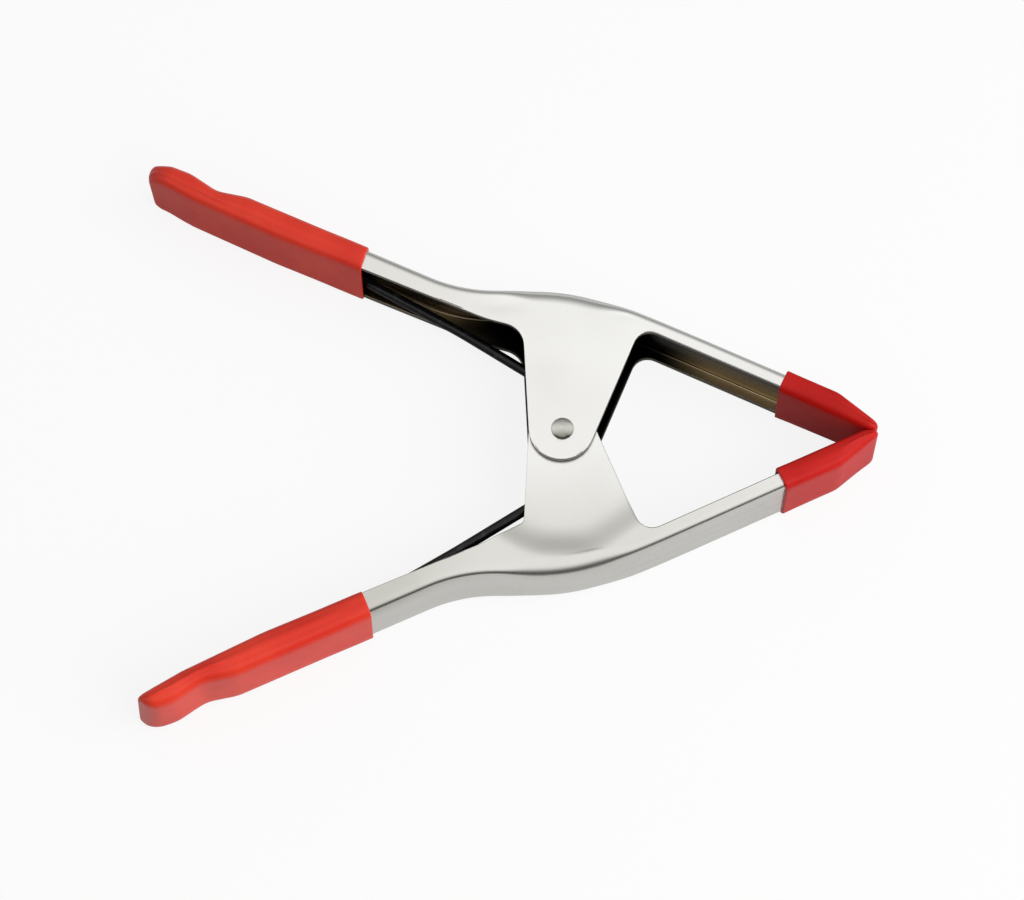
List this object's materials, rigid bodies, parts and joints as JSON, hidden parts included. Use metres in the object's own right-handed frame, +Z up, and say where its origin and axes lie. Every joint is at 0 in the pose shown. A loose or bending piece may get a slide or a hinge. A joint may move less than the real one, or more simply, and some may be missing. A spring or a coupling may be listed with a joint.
{
  "type": "spring clamp",
  "caption": "Pressed-steel spring clamp: channel arms crossing at a riveted pivot, a coiled torsion spring, and vinyl-dipped handles and jaw tips.",
  "frame": {"origin": "centre of the footprint of the clamp lying on its side, on the plane it rests on", "axes": "+X towards the jaws, +Y towards the outer arm, +Z up along the rivet, towards its domed head"},
  "size_m": [0.1966, 0.1556, 0.0216],
  "materials": {
    "plated_steel": "polished nickel plate",
    "rivet_steel": "plated, domed by forming",
    "spring_steel": "black oiled wire",
    "vinyl": "glossy dipped vinyl"
  },
  "bodies": {
    "outer_body": {"outer_arm": "plated_steel", "pivot_rivet": "rivet_steel", "torsion_spring": "spring_steel", "outer_handle_sleeve": "vinyl", "outer_jaw_tip": "vinyl"},
    "inner_body": {"inner_arm": "plated_steel", "inner_handle_sleeve": "vinyl", "inner_jaw_tip": "vinyl"}
  },
  "joints": [
    {"name": "jaw_opening", "type": "hinge", "parent": "outer_body", "child": "inner_body", "pos_m": [0.01437, 0, 0.0106], "axis": [0, 0, -1], "range_deg": [0, 66], "stiffness_Nm_per_rad": 3, "springref_deg": -40.11, "deforming": ["torsion_spring"]}
  ]
}
